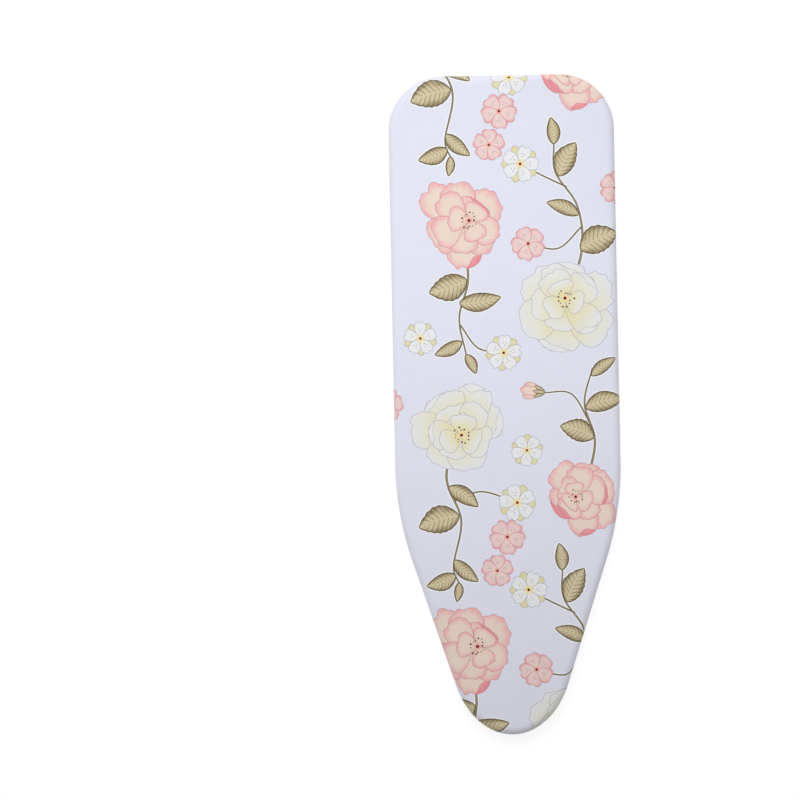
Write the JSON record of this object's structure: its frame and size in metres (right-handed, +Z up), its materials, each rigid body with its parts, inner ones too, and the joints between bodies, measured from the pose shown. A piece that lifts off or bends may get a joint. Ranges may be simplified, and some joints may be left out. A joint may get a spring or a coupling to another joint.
{
  "type": "ironing board cover",
  "caption": "Padded ironing board cover of floral cotton over foam and felt, with a taped hem, an elastic drawcord and a spring cord lock.",
  "frame": {"origin": "middle of the outline's box, on the surface that the hem rests on", "axes": "+X across the board, +Y towards the square end (the nose is at -Y), +Z up through the ironing face"},
  "size_m": [0.424, 1.24, 0.0373],
  "materials": {
    "printed_cotton": "plain woven cotton, pale lavender-white ground with an open floral print",
    "foam": "open-cell foam, cream",
    "felt": "needled felt, warm grey-white",
    "binding_tape": "plain woven cotton tape, off-white, stitched",
    "elastic_cord": "braided elastic, off-white",
    "lock_plastic": "moulded, satin, dark grey",
    "button_plastic": "moulded, satin, mid grey",
    "spring_steel": "drawn wire, bright"
  },
  "bodies": {
    "cover": {"printed_cover": "printed_cotton", "foam_layer": "foam", "felt_underlay": "felt", "hem_casing": "binding_tape", "drawcord": "elastic_cord", "cord_end_bell": "lock_plastic"},
    "cord_lock": {"cord_lock_body": "lock_plastic", "cord_lock_spring": "spring_steel"},
    "button": {"cord_lock_button": "button_plastic"}
  },
  "joints": [
    {"name": "lock_slide", "type": "slide", "parent": "cover", "child": "cord_lock", "axis": [0, -1, 0], "range_m": [0, 0.03]},
    {"name": "button_press", "type": "slide", "parent": "cord_lock", "child": "button", "axis": [-1, 0, 0], "range_m": [0, 0.003], "stiffness_N_per_m": 300, "springref_m": -0.002, "deforming": ["cord_lock_spring"]}
  ]
}
